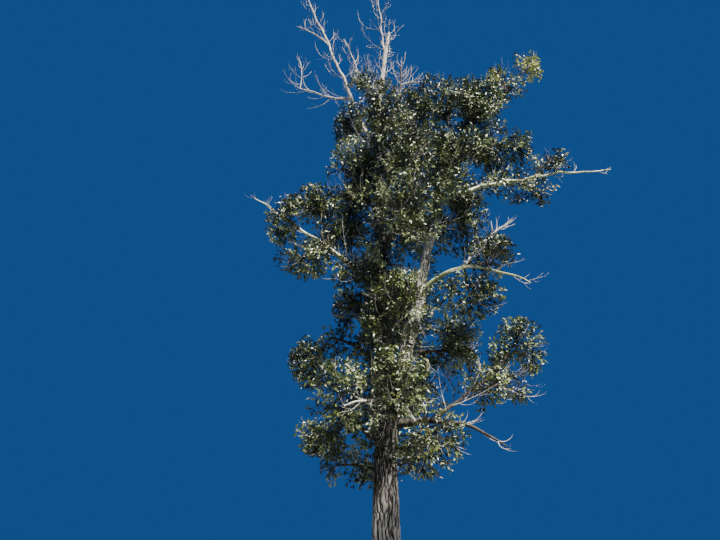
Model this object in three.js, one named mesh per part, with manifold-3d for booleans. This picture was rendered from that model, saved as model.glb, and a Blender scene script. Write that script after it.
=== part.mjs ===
// A tall old poplar with a dead top, rooted in level ground.
// Millimetres, +Z up. The origin is the middle of the flat cut under the trunk, the tree's face
// looks along -Y, and an azimuth of 0 points along +X and 90 along +Y.
import * as THREE from "three";
import { mergeVertices } from "three/addons/utils/BufferGeometryUtils.js";
import Module from "manifold-3d";

const wasm = await Module();
wasm.setup();

// Clearances: a limb's foot is cut this far from its carrier, a mass of leaves keeps this far inside
// its space, and a twig or leaf this far from the wood of other nodes. Corners within the seam are one.
const SEAT_GAP = 0.35;
const SPACE_MARGIN = 25;
const WOOD_CLEARANCE = 30;
const SEAM = 1e-3;

// Numbers of sides and steps of the faceted solids.
const TRUNK_SIDES = 16;
const LIMB_SIDES = 6;
const LIMB_STEPS = 5;
const TWIG_SIDES = 3;
const STEM_STEPS = 3;

// The trunk's rows from the ground to the broken stub at its top: height, radius, and how far its
// axis has wandered to the right.
const TRUNK_ROWS = [
  { height: 0, radius: 560, aside: 0 },
  { height: 250, radius: 490, aside: 0 },
  { height: 700, radius: 440, aside: 15 },
  { height: 1400, radius: 415, aside: 30 },
  { height: 2600, radius: 385, aside: 50 },
  { height: 3700, radius: 345, aside: 60 },
  { height: 4700, radius: 285, aside: 50 },
  { height: 7400, radius: 225, aside: 30 },
  { height: 11000, radius: 185, aside: 20 },
  { height: 15500, radius: 140, aside: 0 },
  { height: 18300, radius: 105, aside: 40 },
  { height: 19900, radius: 92, aside: 270 },
  { height: 21300, radius: 85, aside: 420 },
  { height: 22500, radius: 60, aside: 610 },
];
const FLARE_LOBES = 5;
const FLARE_DEPTH = 0.14;
const FLARE_HEIGHT = 450;

// The limbs. Each leaves its carrier at a height on the trunk or a share of another limb's length,
// runs out by its reach and up by its climb, bows up and sways to the left of its heading at the
// middle, and tapers from its foot radius to its tip radius.
const LIMBS = [
  { name: "second_leader", on: "trunk", at: 3700, foot: 270, tip: 60, bark: "pale",
    azimuth: 2, reach: 3110, climb: 13310, bow: 0, sway: -680 },
  { name: "low_right_bough", on: "second_leader", at: 0.07, foot: 130, tip: 22, bark: "dark",
    azimuth: -22, reach: 3560, climb: -840, bow: 420, sway: -20 },
  { name: "low_right_riser", on: "low_right_bough", at: 0.38, foot: 70, tip: 30, bark: "dark",
    azimuth: 19, reach: 2540, climb: 1730, bow: 120, sway: -130 },
  { name: "arch_bough", on: "second_leader", at: 0.365, foot: 105, tip: 60, bark: "pale",
    azimuth: -24, reach: 1970, climb: 1180, bow: 360, sway: -40 },
  { name: "arch_end", on: "arch_bough", at: 1, foot: 56, tip: 18, bark: "pale",
    azimuth: -29, reach: 1880, climb: -1040, bow: 100, sway: 0 },
  { name: "right_long_bough", on: "second_leader", at: 0.7, foot: 115, tip: 18, bark: "pale",
    azimuth: 8, reach: 7630, climb: 2180, bow: 330, sway: 110 },
  { name: "left_long_bough", on: "trunk", at: 9500, foot: 110, tip: 18, bark: "pale",
    azimuth: -162, reach: 4840, climb: 2930, bow: 30, sway: 100 },
  { name: "left_dead_leader", on: "trunk", at: 14900, foot: 105, tip: 28, bark: "dead",
    azimuth: 167, reach: 3590, climb: 11250, bow: 90, sway: -40 },
  { name: "left_dead_arm", on: "left_dead_leader", at: 0.35, foot: 60, tip: 24, bark: "dead",
    azimuth: -177, reach: 2280, climb: 440, bow: -90, sway: -50 },
  { name: "top_shoot", on: "trunk", at: 21100, foot: 55, tip: 24, bark: "dead",
    azimuth: 180, reach: 270, climb: 3440, bow: 10, sway: 0 },
  { name: "top_left_snag", on: "trunk", at: 17400, foot: 50, tip: 18, bark: "dead",
    azimuth: -161, reach: 1580, climb: 4140, bow: 40, sway: 30 },
  { name: "right_snag", on: "trunk", at: 16000, foot: 60, tip: 40, bark: "dark",
    azimuth: -11, reach: 1100, climb: 4270, bow: -270, sway: 0 },
  { name: "dome_bough", on: "second_leader", at: 0.8, foot: 80, tip: 30, bark: "pale",
    azimuth: 12, reach: 3270, climb: 4680, bow: 390, sway: 110 },
  { name: "left_low_bough", on: "trunk", at: 4100, foot: 100, tip: 35, bark: "dark",
    azimuth: -133, reach: 2340, climb: 870, bow: -70, sway: -30 },
  { name: "left_mid_bough", on: "trunk", at: 6600, foot: 90, tip: 35, bark: "dark",
    azimuth: 154, reach: 2080, climb: 1340, bow: 160, sway: 10 },
  { name: "front_dead_bough", on: "low_right_bough", at: 0.2, foot: 70, tip: 20, bark: "dead",
    azimuth: -126, reach: 3610, climb: -80, bow: 410, sway: 210 },
];

// The masses of leaves. Each stem leaves its carrier like a limb, heads out at its azimuth and rise,
// and after "out" stands in the middle of its space, an ellipsoid with these half sizes.
const LEAF_MASSES = [
  { name: "crown_top", on: "trunk", at: 18000, azimuth: -140, rise: 60, out: 1300,
    wide: 900, deep: 1050, tall: 1350 },
  { name: "top_centre", on: "trunk", at: 16000, azimuth: -75, rise: 30, out: 1400,
    wide: 1400, deep: 1350, tall: 1400 },
  { name: "left_shoulder", on: "left_dead_leader", at: 0.12, azimuth: 150, rise: 45, out: 950,
    wide: 1050, deep: 1400, tall: 1800 },
  { name: "left_upper", on: "trunk", at: 12200, azimuth: -145, rise: 55, out: 2150,
    wide: 1150, deep: 1700, tall: 1500 },
  { name: "upper_front", on: "trunk", at: 13000, azimuth: -70, rise: 20, out: 2550,
    wide: 1500, deep: 1650, tall: 1450 },
  { name: "upper_back", on: "trunk", at: 14600, azimuth: 60, rise: 45, out: 4150,
    wide: 2200, deep: 1800, tall: 2100 },
  { name: "dome_left", on: "second_leader", at: 1, azimuth: -150, rise: 30, out: 1000,
    wide: 1700, deep: 1900, tall: 1600 },
  { name: "dome_right", on: "dome_bough", at: 0.45, azimuth: 45, rise: 60, out: 1600,
    wide: 2000, deep: 1900, tall: 1650 },
  { name: "dome_tip", on: "dome_bough", at: 1, azimuth: 65, rise: 75, out: 750,
    wide: 1000, deep: 1050, tall: 1500 },
  { name: "yellow_tip", on: "dome_bough", at: 0.93, azimuth: 0, rise: 50, out: 2150,
    wide: 750, deep: 850, tall: 1500, leaf: "yellow" },
  { name: "right_shoulder", on: "dome_bough", at: 0.2, azimuth: 25, rise: 25, out: 2750,
    wide: 1600, deep: 1850, tall: 1550 },
  { name: "centre_right", on: "second_leader", at: 0.72, azimuth: -60, rise: 30, out: 1300,
    wide: 1600, deep: 1800, tall: 1850 },
  { name: "long_bough_upper", on: "right_long_bough", at: 0.56, azimuth: 5, rise: 45, out: 1000,
    wide: 1250, deep: 950, tall: 600 },
  { name: "long_bough_under", on: "right_long_bough", at: 0.48, azimuth: 0, rise: -55, out: 700,
    wide: 1300, deep: 950, tall: 600 },
  { name: "left_outer", on: "left_long_bough", at: 0.64, azimuth: -125, rise: 5, out: 550,
    wide: 1000, deep: 1200, tall: 1050 },
  { name: "left_middle", on: "left_long_bough", at: 0.42, azimuth: 160, rise: 70, out: 1600,
    wide: 1200, deep: 1500, tall: 1250 },
  { name: "left_under", on: "left_long_bough", at: 0.45, azimuth: -130, rise: -40, out: 1100,
    wide: 1300, deep: 1350, tall: 850 },
  { name: "left_inner", on: "trunk", at: 10600, azimuth: 140, rise: 50, out: 2900,
    wide: 1200, deep: 1400, tall: 1450 },
  { name: "left_knee", on: "trunk", at: 9000, azimuth: -135, rise: 30, out: 1500,
    wide: 1150, deep: 1400, tall: 1150 },
  { name: "middle_front", on: "trunk", at: 10600, azimuth: -72, rise: 15, out: 2750,
    wide: 1500, deep: 1550, tall: 1500 },
  { name: "middle_back", on: "trunk", at: 10800, azimuth: 65, rise: 45, out: 4050,
    wide: 2150, deep: 1850, tall: 2100 },
  { name: "right_middle", on: "second_leader", at: 0.56, azimuth: 45, rise: 40, out: 2450,
    wide: 1300, deep: 1800, tall: 1550 },
  { name: "arch_upper", on: "arch_end", at: 0.3, azimuth: 90, rise: 70, out: 600,
    wide: 1200, deep: 1500, tall: 800 },
  { name: "arch_under", on: "arch_bough", at: 0.9, azimuth: 60, rise: -70, out: 850,
    wide: 1450, deep: 1650, tall: 950 },
  { name: "left_centre", on: "trunk", at: 8000, azimuth: 140, rise: 35, out: 1300,
    wide: 1050, deep: 1700, tall: 1600 },
  { name: "centre_front", on: "trunk", at: 7400, azimuth: -75, rise: 12, out: 2150,
    wide: 1450, deep: 1550, tall: 1450 },
  { name: "back_middle", on: "trunk", at: 7400, azimuth: 75, rise: 40, out: 3200,
    wide: 2100, deep: 1850, tall: 2050 },
  { name: "right_inner", on: "second_leader", at: 0.24, azimuth: 35, rise: 8, out: 2200,
    wide: 1600, deep: 1800, tall: 1750 },
  { name: "right_outer", on: "low_right_riser", at: 1, azimuth: 25, rise: 50, out: 1250,
    wide: 1300, deep: 1450, tall: 1200 },
  { name: "right_under", on: "low_right_riser", at: 0.6, azimuth: 10, rise: 0, out: 700,
    wide: 1700, deep: 1500, tall: 850 },
  { name: "left_outer_low", on: "left_mid_bough", at: 1, azimuth: 140, rise: -60, out: 950,
    wide: 1200, deep: 1550, tall: 1200 },
  { name: "left_front_low", on: "left_low_bough", at: 1, azimuth: -50, rise: 20, out: 550,
    wide: 1250, deep: 1500, tall: 1150 },
  { name: "left_under_low", on: "left_low_bough", at: 0.6, azimuth: 160, rise: -25, out: 800,
    wide: 1300, deep: 1400, tall: 850 },
  { name: "foot_left", on: "trunk", at: 3200, azimuth: 155, rise: 10, out: 1300,
    wide: 1000, deep: 1100, tall: 800 },
  { name: "foot_right", on: "low_right_bough", at: 0.3, azimuth: -90, rise: -38, out: 1080,
    wide: 1350, deep: 1350, tall: 1300 },
  { name: "low_back", on: "trunk", at: 4900, azimuth: 75, rise: 30, out: 3200,
    wide: 2100, deep: 1850, tall: 1750 },
  { name: "low_front", on: "trunk", at: 5500, azimuth: -85, rise: -12, out: 2300,
    wide: 1450, deep: 1550, tall: 1650 },
];

// The masses of bare twigs at the dead ends, laid out in the same way.
const BARE_MASSES = [
  { name: "top", on: "top_shoot", at: 1, azimuth: 0, rise: 75, out: 450,
    wide: 750, deep: 600, tall: 1350 },
  { name: "leader_tip", on: "left_dead_leader", at: 1, azimuth: 180, rise: 65, out: 300,
    wide: 500, deep: 600, tall: 550 },
  { name: "leader_side", on: "left_dead_leader", at: 0.66, azimuth: -175, rise: 35, out: 1200,
    wide: 600, deep: 600, tall: 1150 },
  { name: "arm", on: "left_dead_arm", at: 1, azimuth: 160, rise: 85, out: 1000,
    wide: 750, deep: 700, tall: 1000 },
  { name: "snag", on: "right_snag", at: 0.75, azimuth: 20, rise: 25, out: 650,
    wide: 600, deep: 600, tall: 1050 },
  { name: "right", on: "arch_bough", at: 0.9, azimuth: 10, rise: 45, out: 2450,
    wide: 700, deep: 700, tall: 600 },
];

// The rule by which a mass branches. Shoots leave the stem a golden angle apart, splayed more at its
// foot than at its tip, turn up by the lift, and fill a share of the room that they have.
const GOLDEN_ANGLE = 137.5;
const LEAFY_RULE = {
  shoots: 3, splayFoot: 85, splayTip: 50, lift: 0.1, fill: 0.45, end: 0.5, bow: 0,
  leafShares: [0.34, 0.56, 0.78, 0.97], leafTurn: 60, twigs: 0, steps: 1,
};
const BARE_RULE = {
  shoots: 4, splayFoot: 60, splayTip: 25, lift: 0.4, fill: 0.95, end: 0.95, bow: -0.08,
  leafShares: [], leafTurn: 0, twigs: 1, steps: 2,
};
const ANGLE_SPREAD = 24;
const SHORTEST_SHOOT = 180;
const STEM_BOW = 0.06;
const TWIG_SPLAY = 38;

// Radii of the twigs: a stem's foot grows with its length, and never passes this share of the limb.
// What leaves it starts at a share of its radius there, so the root lies wholly inside.
const STEM_FOOT = 34;
const STEM_GROWTH = 0.014;
const STEM_SHARE_OF_LIMB = 0.8;
const STEM_TIP = 24;
const ROOT_SHARE = 0.5;
const TWIG_TIP = 0.5;

// Leaves, each of which stands for a spray: its length as a share of the space's mean half size,
// its width, thickness and widest place as shares of that length. It takes the first of a few turns
// and sizes that has room and keeps its spacing from the leaves before it.
const LEAF_LENGTH = 1.35;
const LEAF_SIZES = [1, 0.85, 0.7];
const LEAF_TURNS = 5;
const LEAF_SPACING = 0.44;
const SHORTEST_LEAF = 0.45;
const LEAF_WIDTH = 0.85;
const LEAF_THICKNESS = 0.035;
const LEAF_BELLY = 0.42;

const COLOURS = {
  dark: { color: "#4a4038", roughness: 0.95 },
  pale: { color: "#b9ab97", roughness: 0.85 },
  dead: { color: "#cfc4b2", roughness: 0.85 },
  green: { color: "#4c5a2a", roughness: 0.6 },
  yellow: { color: "#b9a53c", roughness: 0.6 },
};

const UP = new THREE.Vector3(0, 0, 1);
const radians = THREE.MathUtils.degToRad;
const mix = THREE.MathUtils.lerp;

function vector(x, y, z) {
  return new THREE.Vector3(x, y, z);
}

function moved(point, direction, length) {
  return point.clone().addScaledVector(direction, length);
}

// A number between 0 and 1 that depends only on the mass and on the count of the draw.
function chance(seed, draw) {
  const wave = Math.sin(seed * 12.9898 + draw * 78.233) * 43758.5453;
  return wave - Math.floor(wave);
}

function heading(azimuth, rise) {
  const level = Math.cos(radians(rise));
  const turn = radians(azimuth);
  return vector(level * Math.cos(turn), level * Math.sin(turn), Math.sin(radians(rise)));
}

// Two directions square to a line and to each other.
function squareTo(line) {
  const across = Math.abs(line.z) > 0.9 ? vector(0, 1, 0) : UP;
  const first = across.clone().cross(line).normalize();
  return [first, line.clone().cross(first)];
}

// The direction that leans from a line by an angle, towards a turn about that line.
function leaning(line, lean, turn) {
  const [first, second] = squareTo(line);
  const out = first.multiplyScalar(Math.cos(turn)).addScaledVector(second, Math.sin(turn));
  return line.clone().multiplyScalar(Math.cos(lean)).addScaledVector(out, Math.sin(lean)).normalize();
}

// Wood is a curve with a radius. The trunk's is read off its rows by height.
class Trunk extends THREE.Curve {
  height = TRUNK_ROWS.at(-1).height;
  steps = 2 * TRUNK_ROWS.length;

  row(height) {
    const last = TRUNK_ROWS.length - 2;
    const found = TRUNK_ROWS.findIndex((row, i) => i > 0 && row.height >= height);
    const lower = found < 0 ? last : found - 1;
    const [below, above] = [TRUNK_ROWS[lower], TRUNK_ROWS[lower + 1]];
    const share = (height - below.height) / (above.height - below.height);
    return {
      radius: mix(below.radius, above.radius, share),
      aside: mix(below.aside, above.aside, share),
    };
  }

  shareOf(height) {
    return height / this.height;
  }

  getPoint(t) {
    return vector(this.row(t * this.height).aside, 0, t * this.height);
  }

  radiusAt(t) {
    return this.row(t * this.height).radius;
  }
}

// A limb, stem or twig: an arc from its foot, with a straight taper, made of a few straight pieces.
class Limb extends THREE.Curve {
  constructor(foot, chord, bow, sway, footRadius, tipRadius, steps) {
    super();
    const side = vector(-chord.y, chord.x, 0);
    this.side = side.lengthSq() > 0 ? side.normalize() : vector(0, 1, 0);
    this.rise = chord.clone().normalize().cross(this.side);
    Object.assign(this, { foot, chord, bow, sway, footRadius, tipRadius, steps });
  }

  shareOf(at) {
    return at;
  }

  getPoint(t) {
    const belly = 4 * t * (1 - t);
    return moved(this.foot, this.chord, t)
      .addScaledVector(this.rise, this.bow * belly)
      .addScaledVector(this.side, this.sway * belly);
  }

  radiusAt(t) {
    return mix(this.footRadius, this.tipRadius, t);
  }

  // The point on the straight pieces where a shoot or leaf is rooted.
  rootAt(t) {
    const step = Math.min(Math.floor(t * this.steps), this.steps - 1);
    const [from, to] = [this.getPoint(step / this.steps), this.getPoint((step + 1) / this.steps)];
    return from.lerp(to, t * this.steps - step);
  }
}

// A closed cylinder whose rings can be moved: the flat ends have no vertex in the middle.
function closedCylinder(sides, steps) {
  const geometry = new THREE.CylinderGeometry(1, 1, 1, sides, steps, true);
  const index = [...geometry.index.array];
  const last = steps * (sides + 1);
  for (let i = 1; i < sides - 1; i++) {
    index.push(0, i, i + 1, last, last + i + 1, last + i);
  }
  geometry.setIndex(index);
  return geometry;
}

// A closed tube round a curve: the rings of a unit cylinder are moved to their places along it,
// fatter by "grown" all over.
function tube(wood, sides, grown = 0) {
  const geometry = closedCylinder(sides, wood.steps);
  const position = geometry.getAttribute("position");
  for (let i = 0; i < position.count; i++) {
    const share = position.getY(i) + 0.5;
    const along = wood.getTangent(share);
    const side = wood.side.clone().addScaledVector(along, -wood.side.dot(along)).normalize();
    const rise = side.clone().cross(along);
    const radius = wood.radiusAt(share) + grown;
    const overrun = share === 0 ? -grown : share === 1 ? grown : 0;
    const point = moved(wood.getPoint(share), along, overrun)
      .addScaledVector(side, position.getX(i) * radius)
      .addScaledVector(rise, position.getZ(i) * radius);
    position.setXYZ(i, point.x, point.y, point.z);
  }
  return solid(geometry);
}

// The trunk's rings stay level, so the cut at the ground is flat, and its foot flares in lobes.
function trunkTube(grown = 0) {
  const rings = TRUNK_ROWS.length - 1;
  const geometry = closedCylinder(TRUNK_SIDES, rings);
  const position = geometry.getAttribute("position");
  for (let i = 0; i < position.count; i++) {
    const row = TRUNK_ROWS[Math.round((position.getY(i) + 0.5) * rings)];
    const [x, y] = [position.getX(i), -position.getZ(i)];
    const lobes = Math.cos(FLARE_LOBES * Math.atan2(y, x)) * Math.exp(-row.height / FLARE_HEIGHT);
    const radius = row.radius * (1 + FLARE_DEPTH * lobes) + grown;
    position.setXYZ(i, row.aside + x * radius, y * radius, row.height);
  }
  return solid(geometry);
}

// A closed geometry as a solid that can be joined and cut.
function solid(geometry) {
  geometry.deleteAttribute("normal");
  geometry.deleteAttribute("uv");
  const merged = mergeVertices(geometry, SEAM);
  return new wasm.Manifold(
    new wasm.Mesh({
      numProp: 3,
      vertProperties: merged.getAttribute("position").array,
      triVerts: new Uint32Array(merged.index.array),
    }),
  );
}

function geometryOf(made) {
  const { vertProperties, triVerts } = made.getMesh();
  const geometry = new THREE.BufferGeometry();
  geometry.setAttribute("position", new THREE.BufferAttribute(vertProperties, 3));
  geometry.setIndex(new THREE.BufferAttribute(triVerts, 1));
  return geometry;
}

// The largest body of a solid once its seams are merged: a scrap that comes loose is dropped.
function largest(made) {
  const bodies = solid(geometryOf(made)).decompose();
  return bodies.reduce((best, body) => (body.volume() > best.volume() ? body : best));
}

// A leaf is an octahedron drawn out along its direction, flat to its facing, widest near its root.
function leafSolid(leaf) {
  const geometry = new THREE.OctahedronGeometry(1);
  const facing = leaf.direction.clone().cross(leaf.across);
  const position = geometry.getAttribute("position");
  for (let i = 0; i < position.count; i++) {
    const end = position.getX(i);
    const along = Math.abs(end) < 0.5 ? LEAF_BELLY * leaf.length : ((end + 1) / 2) * leaf.length;
    const point = moved(leaf.root, leaf.direction, along)
      .addScaledVector(leaf.across, (position.getY(i) * leaf.length * LEAF_WIDTH) / 2)
      .addScaledVector(facing, (position.getZ(i) * leaf.length * LEAF_THICKNESS) / 2);
    position.setXYZ(i, point.x, point.y, point.z);
  }
  return solid(geometry);
}

// The space that a mass keeps to: its ellipsoid, cut by a plane towards each neighbour's.
class Space {
  constructor(centre, half) {
    Object.assign(this, { centre, half, planes: [] });
  }

  extent(direction) {
    return direction.clone().multiply(this.half).length();
  }

  divideFrom(other) {
    const apart = other.centre.clone().sub(this.centre);
    const distance = apart.length();
    const normal = apart.divideScalar(distance);
    const [own, theirs] = [this.extent(normal), other.extent(normal)];
    if (own + theirs <= distance) return;
    const reach = (distance * own) / (own + theirs);
    this.planes.push({ normal, offset: normal.dot(this.centre) + reach - SPACE_MARGIN });
  }

  holds(point) {
    const inside = point.clone().sub(this.centre).divide(this.half).length() <= 1;
    return inside && this.planes.every((plane) => plane.normal.dot(point) <= plane.offset);
  }

  // How far a line runs from a point inside before it leaves the space.
  room(point, direction) {
    const from = point.clone().sub(this.centre).divide(this.half);
    const step = direction.clone().divide(this.half);
    const [a, b, c] = [step.lengthSq(), from.dot(step), from.lengthSq() - 1];
    let room = (-b + Math.sqrt(Math.max(b * b - a * c, 0))) / a;
    for (const { normal, offset } of this.planes) {
      const towards = normal.dot(direction);
      if (towards > 0) room = Math.min(room, (offset - normal.dot(point)) / towards);
    }
    return room;
  }

  outward(point) {
    return point.clone().sub(this.centre).divide(this.half).divide(this.half).normalize();
  }
}

// The straight pieces of a curve, each with its largest radius.
function pieces(wood) {
  return Array.from({ length: wood.steps }, (_, i) => {
    const [from, to] = [i / wood.steps, (i + 1) / wood.steps];
    return {
      line: new THREE.Line3(wood.getPoint(from), wood.getPoint(to)),
      radius: Math.max(wood.radiusAt(from), wood.radiusAt(to)),
    };
  });
}

function isClear(line, radius, wood) {
  return wood.every((piece) => {
    const least = piece.radius + radius + WOOD_CLEARANCE;
    return piece.line.distanceSqToLine3(line) > least * least;
  });
}

// A shoot or twig inside a mass, shortened or given up where it would meet other wood.
function shootFrom(mass, parent, share, direction, length) {
  const root = parent.rootAt(share);
  const radius = ROOT_SHARE * parent.radiusAt(share);
  for (const size of [1, 0.7]) {
    const chord = direction.clone().multiplyScalar(length * size);
    const bow = mass.rule.bow * length * size;
    const shoot = new Limb(root, chord, bow, 0, radius, TWIG_TIP * radius, mass.rule.steps);
    const line = new THREE.Line3(root, shoot.getPoint(1));
    const long = length * size >= SHORTEST_SHOOT;
    if (long && mass.space.holds(line.end) && isClear(line, radius, mass.others)) return shoot;
  }
  return null;
}

// The side shoots of a mass's stem, from where the stem is inside its space to near its tip.
function shootsOf(mass) {
  const { rule, space, stem, seed } = mass;
  const shoots = [];
  for (let k = 0; k < rule.shoots; k++) {
    const share = (k + 0.4) / rule.shoots;
    const t = mix(mass.entry, 1, share);
    const lean = mix(rule.splayFoot, rule.splayTip, share) + ANGLE_SPREAD * (chance(seed, k) - 0.5);
    const turn = radians(k * GOLDEN_ANGLE + 360 * chance(seed, 50));
    const direction = leaning(stem.getTangent(t), radians(lean), turn);
    direction.addScaledVector(UP, rule.lift).normalize();
    const room = space.room(stem.getPoint(t), direction);
    const length = rule.fill * room * mix(0.85, 1, chance(seed, 10 + k));
    const shoot = shootFrom(mass, stem, t, direction, length);
    if (shoot) shoots.push(shoot);
  }
  return shoots;
}

// The side twigs of bare shoots.
function twigsOf(mass, shoots) {
  const twigs = [];
  shoots.forEach((shoot, k) => {
    for (let i = 0; i < mass.rule.twigs; i++) {
      const share = 0.4 + 0.25 * i;
      const turn = radians((3 * k + i) * GOLDEN_ANGLE);
      const direction = leaning(shoot.getTangent(0.5), radians(TWIG_SPLAY), turn);
      direction.addScaledVector(UP, mass.rule.lift).normalize();
      const room = mass.space.room(shoot.getPoint(share), direction) * mass.rule.fill;
      const length = Math.min(room, shoot.chord.length() * 0.6);
      const twig = shootFrom(mass, shoot, share, direction, length);
      if (twig) twigs.push(twig);
    }
  });
  return twigs;
}

// The lines that cross a leaf: its middle, and on each side its rim and two lines between.
function ribsOf(leaf) {
  const tip = moved(leaf.root, leaf.direction, leaf.length);
  const lines = [new THREE.Line3(leaf.root, tip)];
  for (const side of [1, -1]) {
    const corner = moved(leaf.belly, leaf.across, (side * leaf.length * LEAF_WIDTH) / 2);
    lines.push(new THREE.Line3(leaf.root, corner), new THREE.Line3(corner, tip));
    for (const share of [1 / 3, 2 / 3]) {
      lines.push(new THREE.Line3(leaf.root.clone().lerp(corner, share), tip.clone().lerp(corner, share)));
    }
  }
  return lines;
}

// Whether a leaf has room: it stays in the space, clear of other wood, and off the leaves before it.
function leafFits(mass, leaf, leaves) {
  const lines = ribsOf(leaf);
  const long = leaf.length >= SHORTEST_LEAF * mass.leafLength;
  const inside = lines.every((line) => mass.space.holds(line.start) && mass.space.holds(line.end));
  const spaced = leaves.every((other) => {
    return other.belly.distanceTo(leaf.belly) > (LEAF_SPACING * (other.length + leaf.length)) / 2;
  });
  const thickness = leaf.length * LEAF_THICKNESS;
  return long && inside && spaced && lines.every((line) => isClear(line, thickness, mass.others));
}

// A leaf on a shoot, or none where nothing fits.
function leafOn(mass, shoot, share, draw, leaves) {
  const root = shoot.rootAt(share);
  const lean = radians(share > 0.9 ? mass.rule.leafTurn / 3 : mass.rule.leafTurn);
  const wanted = mass.leafLength * mix(0.85, 1.15, chance(mass.seed, 100 + draw));
  for (let turn = 0; turn < LEAF_TURNS; turn++) {
    const roll = radians((draw + turn) * GOLDEN_ANGLE + 360 * chance(mass.seed, 60 + draw));
    const direction = leaning(shoot.getTangent(share), lean * (1 + 0.2 * turn), roll);
    const room = Math.min(wanted, mass.space.room(root, direction));
    const facing = mass.space.outward(moved(root, direction, room / 2)).addScaledVector(UP, 0.3);
    const across = facing.cross(direction).normalize();
    for (const size of LEAF_SIZES) {
      const length = room * size;
      const leaf = { root, direction, across, length, belly: moved(root, direction, LEAF_BELLY * length) };
      if (leafFits(mass, leaf, leaves)) return leaf;
    }
  }
  return null;
}

function leavesOf(mass, shoots) {
  const leaves = [];
  [mass.stem, ...shoots].forEach((shoot, k) => {
    mass.rule.leafShares.forEach((share, i) => {
      const leaf = leafOn(mass, shoot, share, k * mass.rule.leafShares.length + i, leaves);
      if (leaf) leaves.push(leaf);
    });
  });
  return leaves;
}

// A mass's plan: its space, and its stem from the carrier's axis through the middle of that space.
function planMass(row, index, rule, wood) {
  const carrier = wood.get(row.on);
  const share = carrier.shareOf(row.at);
  const foot = carrier.getPoint(share);
  const direction = heading(row.azimuth, row.rise);
  const space = new Space(moved(foot, direction, row.out), vector(row.wide, row.deep, row.tall));
  const length = row.out + rule.end * space.extent(direction);
  const thickest = STEM_SHARE_OF_LIMB * carrier.radiusAt(share);
  const footRadius = Math.min(STEM_FOOT + STEM_GROWTH * length, thickest);
  const chord = direction.clone().multiplyScalar(length);
  const stem = new Limb(foot, chord, STEM_BOW * length, 0, footRadius, STEM_TIP, STEM_STEPS);
  const leafLength = LEAF_LENGTH * (row.wide + row.deep + row.tall) / 3;
  return { ...row, rule, space, stem, leafLength, seed: index + 1 };
}

// Where a stem has come inside its space for good.
function entryOf(mass) {
  const steps = 40;
  let entry = 0;
  for (let i = 0; i < steps; i++) {
    if (!mass.space.holds(mass.stem.getPoint(i / steps))) entry = (i + 1) / steps;
  }
  return Math.min(entry, 0.7);
}

function massSolid(mass, seats) {
  const shoots = shootsOf(mass);
  const twigs = twigsOf(mass, shoots);
  const stem = tube(mass.stem, TWIG_SIDES).subtract(seats.get(mass.on));
  const parts = [...shoots, ...twigs].map((shoot) => tube(shoot, TWIG_SIDES));
  const leaves = leavesOf(mass, shoots).map(leafSolid);
  return largest(wasm.Manifold.union([stem, ...parts, ...leaves]));
}

function meshOf(name, made, colour) {
  const geometry = geometryOf(made);
  geometry.computeVertexNormals();
  const material = new THREE.MeshStandardMaterial({ ...COLOURS[colour], metalness: 0, flatShading: true });
  const mesh = new THREE.Mesh(geometry, material);
  mesh.name = name;
  return mesh;
}

// The wood first: every limb is cut off its carrier, and "seats" keeps each one grown by the gap.
const tree = new THREE.Group();
const trunk = new Trunk();
const wood = new Map([["trunk", trunk]]);
const seats = new Map([["trunk", trunkTube(SEAT_GAP)]]);
tree.add(meshOf("trunk", trunkTube(), "dark"));
for (const row of LIMBS) {
  const carrier = wood.get(row.on);
  const foot = carrier.getPoint(carrier.shareOf(row.at));
  const chord = heading(row.azimuth, 0).multiplyScalar(row.reach).addScaledVector(UP, row.climb);
  const limb = new Limb(foot, chord, row.bow, row.sway, row.foot, row.tip, LIMB_STEPS);
  wood.set(row.name, limb);
  seats.set(row.name, tube(limb, LIMB_SIDES, SEAT_GAP));
  const made = tube(limb, LIMB_SIDES).subtract(seats.get(row.on));
  tree.add(meshOf(row.name, largest(made), row.bark));
}

// Then the masses: all stems and spaces are laid out before any of them branches.
const masses = [
  ...LEAF_MASSES.map((row, i) => planMass(row, i, LEAFY_RULE, wood)),
  ...BARE_MASSES.map((row, i) => planMass(row, LEAF_MASSES.length + i, BARE_RULE, wood)),
];
const limbPieces = [...wood.values()].flatMap(pieces);
for (const mass of masses) {
  const rest = masses.filter((other) => other !== mass);
  rest.forEach((other) => mass.space.divideFrom(other.space));
  mass.others = [...limbPieces, ...rest.flatMap((other) => pieces(other.stem))];
  mass.entry = entryOf(mass);
}
for (const mass of masses) {
  const bare = mass.rule === BARE_RULE;
  const name = (bare ? "twigs_" : "leaves_") + mass.name;
  tree.add(meshOf(name, massSolid(mass, seats), bare ? "dead" : mass.leaf ?? "green"));
}

export default tree;
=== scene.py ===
"""The looks of a tall old poplar with a dead top: furrowed bark, dead wood, fine twigs and leaves.

Metres, +Z up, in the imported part's frame. The tables repeat the part's own rows in millimetres. The
masses grow by the same rule as its solids, carried on to finer twigs and to leaves, and the limbs
carry leafy or bleached twigs of their own between the masses.
"""

import math
from types import SimpleNamespace

import bpy
import numpy as np
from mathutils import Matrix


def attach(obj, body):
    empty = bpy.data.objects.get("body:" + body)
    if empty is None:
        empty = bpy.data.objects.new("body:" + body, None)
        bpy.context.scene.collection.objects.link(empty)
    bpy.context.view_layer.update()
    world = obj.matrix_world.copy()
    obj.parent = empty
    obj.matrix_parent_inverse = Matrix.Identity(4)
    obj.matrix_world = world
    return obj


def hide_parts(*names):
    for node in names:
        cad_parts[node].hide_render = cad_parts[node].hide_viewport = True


MM = 0.001
UP = np.array([0.0, 0.0, 1.0])
GOLDEN_TURN = math.radians(137.5)

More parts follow.
